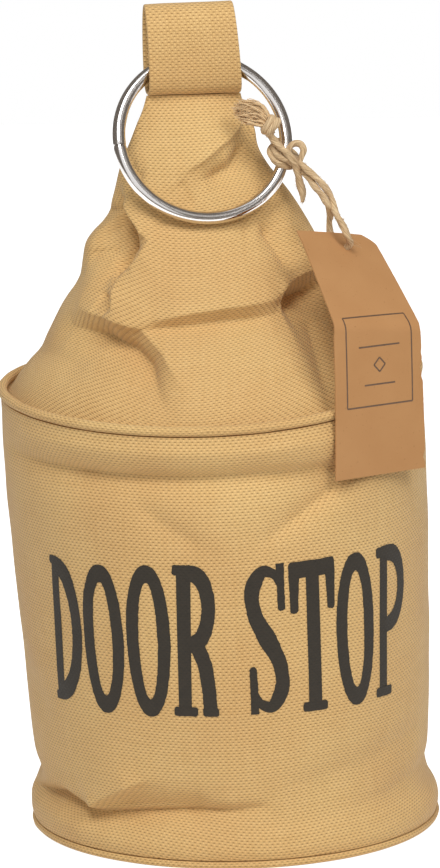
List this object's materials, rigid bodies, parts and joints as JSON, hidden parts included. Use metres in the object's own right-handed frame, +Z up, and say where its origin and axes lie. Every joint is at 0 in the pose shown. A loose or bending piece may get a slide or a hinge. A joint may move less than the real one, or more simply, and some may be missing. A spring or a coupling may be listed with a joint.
{
  "type": "weighted fabric door stop",
  "caption": "Sand-filled woven cloth door stop: a round bag with a corded shoulder, a gathered top, a strap loop, a hinged steel carry ring and a card tag on twine.",
  "frame": {"origin": "middle of the round base, on the surface that the bag stands on", "axes": "+Z up; the printed front faces -Y; +X is to the right of the front"},
  "size_m": [0.1389, 0.135, 0.2593],
  "materials": {
    "canvas": "coarse plain weave, matt",
    "ring": "polished steel",
    "tag": "uncoated kraft card",
    "twine": "twisted jute"
  },
  "bodies": {
    "bag": {"base_panel": "canvas", "lower_bag": "canvas", "shoulder_piping": "canvas", "upper_bag": "canvas", "strap_loop": "canvas"},
    "ring": {"carry_ring": "ring", "hang_tag": "tag", "tag_twine": "twine", "twine_hitch": "twine", "twine_end": "twine", "twine_tail": "twine"}
  },
  "joints": [
    {"name": "ring_swing", "type": "hinge", "parent": "bag", "child": "ring", "pos_m": [-0.00979, -0.00009, 0.24069], "axis": [-0.9771, -0.2077, -0.0471], "range_deg": [0, 285]}
  ]
}
